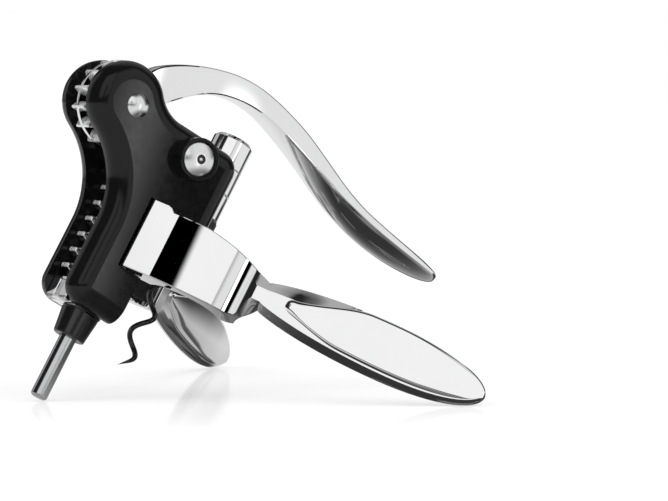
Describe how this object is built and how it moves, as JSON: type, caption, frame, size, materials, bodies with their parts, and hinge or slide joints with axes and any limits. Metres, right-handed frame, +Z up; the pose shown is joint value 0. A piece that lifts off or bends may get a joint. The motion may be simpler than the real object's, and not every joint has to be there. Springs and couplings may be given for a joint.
{
  "type": "lever corkscrew",
  "caption": "Standing lever corkscrew: black cheeks hold a geared chrome lever, a rack carriage with barrel and helical worm, and hinged jaw handles that grip a bottle neck.",
  "frame": {"origin": "middle of the tool's footprint box, on the table under the slide rod's tip and both handle tips", "axes": "+X forward, the way the lever and the handles point; +Y to the tool's left; +Z up"},
  "size_m": [0.189, 0.216, 0.1351],
  "materials": {
    "black_gloss_plastic": "glossy black moulded plastic",
    "black_satin_plastic": "satin black moulded plastic",
    "chrome": "polished chrome plate",
    "bright_steel": "bright drawn steel",
    "coated_wire": "black non-stick coating on steel wire",
    "soft_black": "soft black rubber"
  },
  "bodies": {
    "frame": {"left_cheek": "black_gloss_plastic", "right_cheek": "black_gloss_plastic", "pivot_bolt": "chrome", "pivot_cap": "chrome", "pivot_washers": "black_satin_plastic", "guide_bolt": "chrome", "guide_cap": "chrome", "guide_bush": "black_satin_plastic", "nut_holder": "black_gloss_plastic", "drive_nut": "black_satin_plastic", "nut_plate": "black_satin_plastic", "nut_screws": "bright_steel", "left_hinge_pin": "bright_steel", "right_hinge_pin": "bright_steel"},
    "lever": {"lever": "chrome"},
    "carriage": {"rack": "bright_steel", "barrel": "chrome", "barrel_cap": "chrome", "rod_collar": "black_satin_plastic", "slide_rod": "chrome"},
    "worm": {"worm": "coated_wire", "worm_head": "bright_steel"},
    "left_jaw": {"left_jaw": "chrome", "left_jaw_pad": "soft_black"},
    "right_jaw": {"right_jaw": "chrome", "right_jaw_pad": "soft_black"}
  },
  "joints": [
    {"name": "lever_hinge", "type": "hinge", "parent": "frame", "child": "lever", "pos_m": [-0.05587, 0, 0.11709], "axis": [0, -1, 0], "range_deg": [0, 210]},
    {"name": "carriage_slide", "type": "slide", "parent": "frame", "child": "carriage", "axis": [0.5007, 0, 0.8656], "range_m": [0, 0.05773]},
    {"name": "worm_spin", "type": "hinge", "parent": "carriage", "child": "worm", "pos_m": [-0.00938, 0, 0.0902], "axis": [0.5007, 0, 0.8656], "range_deg": [0, 1154.55]},
    {"name": "left_jaw_hinge", "type": "hinge", "parent": "frame", "child": "left_jaw", "pos_m": [-0.0533, 0.0134, 0.065], "axis": [-0.5007, 0, -0.8656], "range_deg": [0, 37.6]},
    {"name": "right_jaw_hinge", "type": "hinge", "parent": "frame", "child": "right_jaw", "pos_m": [-0.0533, -0.0134, 0.065], "axis": [0.5007, 0, 0.8656], "range_deg": [0, 37.6]}
  ],
  "couplings": [
    {"joint": "carriage_slide", "follows": "lever_hinge", "m_per_rad": 0.01575},
    {"joint": "worm_spin", "follows": "lever_hinge", "ratio": 5.4978}
  ]
}
